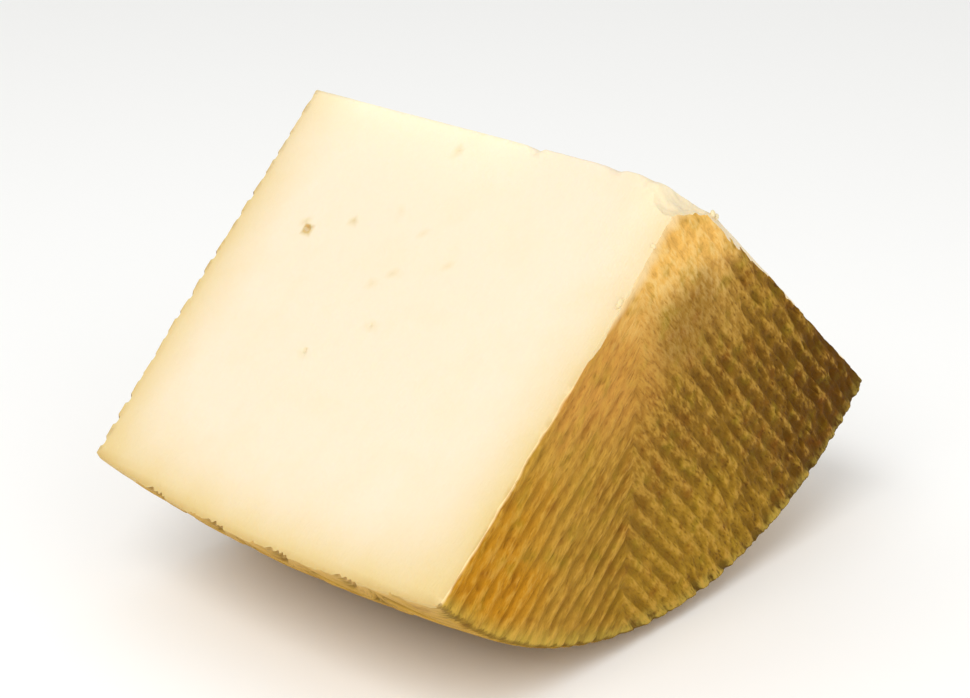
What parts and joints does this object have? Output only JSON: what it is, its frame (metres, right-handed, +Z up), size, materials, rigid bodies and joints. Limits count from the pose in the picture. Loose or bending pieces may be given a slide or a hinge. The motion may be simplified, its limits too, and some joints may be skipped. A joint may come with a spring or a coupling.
{
  "type": "aged sheep cheese chunk",
  "caption": "Wedge cut from a pressed sheep's milk cheese, standing on its plaited rim, with ridged flat faces and smooth cut faces that show small eyes.",
  "frame": {"origin": "on the surface the chunk stands on, under the middle of its bounding box, on the flat spot at the bottom of the rim", "axes": "+Y along the wheel's axis, from the flat face with bent ridges (at -Y) to the one with straight ridges (at +Y); +Z up, towards the edge where the two cut faces meet; the cut faces lean to -X and +X"},
  "size_m": [0.1416, 0.1034, 0.0957],
  "materials": {
    "cheese": "matte"
  },
  "bodies": {
    "root": {"cheese_chunk": "cheese"}
  },
  "joints": []
}
